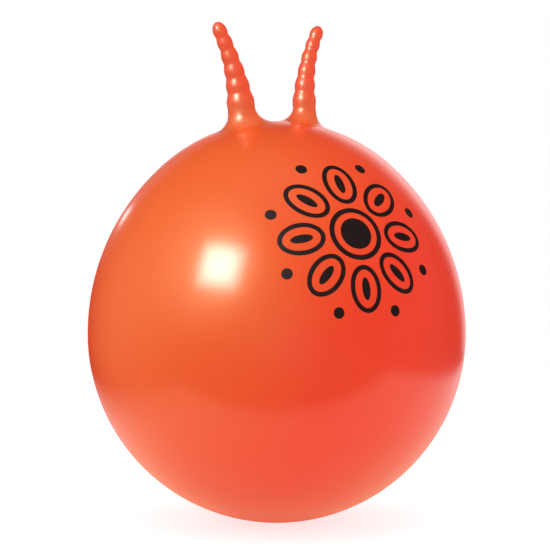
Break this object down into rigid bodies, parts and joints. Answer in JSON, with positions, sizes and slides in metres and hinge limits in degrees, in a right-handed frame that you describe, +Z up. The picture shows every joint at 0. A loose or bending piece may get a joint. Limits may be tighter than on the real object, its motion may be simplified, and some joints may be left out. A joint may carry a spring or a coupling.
{
  "type": "hopper ball",
  "caption": "Large inflated vinyl ball to sit and bounce on, with ribbed grip horns on its crown and a push-in air plug low on its back.",
  "frame": {"origin": "middle of the foot that the ball rests on", "axes": "+Z up along the ball's axis; -Y towards the printed front; the horns stand left (-X) and right (+X) of the axis, and the valve is on the back (+Y)"},
  "size_m": [0.5999, 0.6, 0.7881],
  "materials": {
    "vinyl": "glossy inflated PVC vinyl, seamless",
    "valve_vinyl": "moulded soft PVC",
    "plug": "moulded white plastic"
  },
  "bodies": {
    "ball": {"ball_skin": "vinyl", "left_horn": "vinyl", "right_horn": "vinyl", "valve_seat": "valve_vinyl"},
    "plug": {"valve_plug": "plug"}
  },
  "joints": [
    {"name": "plug_pull", "type": "slide", "parent": "ball", "child": "plug", "axis": [0, 0.9781, -0.2079], "range_m": [0, 0.03]}
  ]
}
